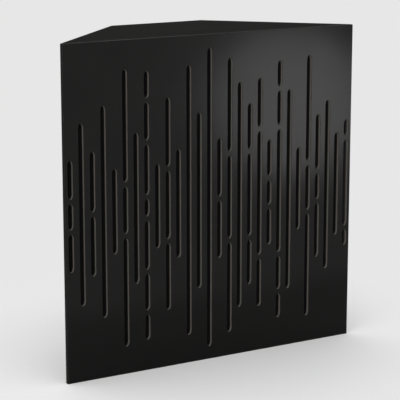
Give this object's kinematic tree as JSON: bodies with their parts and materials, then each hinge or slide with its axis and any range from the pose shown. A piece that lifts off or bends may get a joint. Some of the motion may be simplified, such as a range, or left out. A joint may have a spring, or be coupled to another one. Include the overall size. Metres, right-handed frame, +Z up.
{
  "type": "corner bass trap",
  "caption": "Square slotted face board on a closed wedge-shaped case filled with mineral wool, made to stand in a right-angled room corner.",
  "frame": {"origin": "centre of the box's base, on the surface that the trap stands on, midway between the face and the rear panel", "axes": "+X along the slotted face to the viewer's right, +Y from the face into the room corner, +Z up"},
  "size_m": [0.595, 0.21, 0.595],
  "materials": {
    "satin_lacquer": "black satin lacquer on fibreboard",
    "black_fleece": "black non-woven fleece",
    "raw_board": "bare fibreboard",
    "softwood": "planed softwood",
    "beech": "turned beech",
    "mineral_wool": "pressed mineral wool slab",
    "black_steel": "black phosphated steel"
  },
  "bodies": {
    "root": {"front_fascia": "satin_lacquer", "acoustic_veil": "black_fleece", "top_panel": "satin_lacquer", "bottom_panel": "satin_lacquer", "left_side_panel": "satin_lacquer", "right_side_panel": "satin_lacquer", "rear_panel": "satin_lacquer", "middle_brace": "raw_board", "rear_batten_left_lower": "softwood", "rear_batten_left_upper": "softwood", "rear_batten_right_lower": "softwood", "rear_batten_right_upper": "softwood", "wool_slab_1": "mineral_wool", "wool_slab_2_lower": "mineral_wool", "wool_slab_2_upper": "mineral_wool", "wool_slab_3_lower": "mineral_wool", "wool_slab_3_upper": "mineral_wool", "dowel_bottom_left_1": "beech", "dowel_bottom_left_2": "beech", "dowel_bottom_left_3": "beech", "dowel_bottom_right_1": "beech", "dowel_bottom_right_2": "beech", "dowel_bottom_right_3": "beech", "dowel_top_left_1": "beech", "dowel_top_left_2": "beech", "dowel_top_left_3": "beech", "dowel_top_right_1": "beech", "dowel_top_right_2": "beech", "dowel_top_right_3": "beech", "dowel_brace_left_1": "beech", "dowel_brace_left_2": "beech", "dowel_brace_right_1": "beech", "dowel_brace_right_2": "beech", "rear_screw_1": "black_steel", "rear_screw_2": "black_steel", "rear_screw_3": "black_steel", "rear_screw_4": "black_steel", "rear_screw_5": "black_steel", "rear_screw_6": "black_steel", "rear_screw_7": "black_steel", "rear_screw_8": "black_steel", "rear_screw_9": "black_steel", "rear_screw_10": "black_steel"}
  },
  "joints": []
}
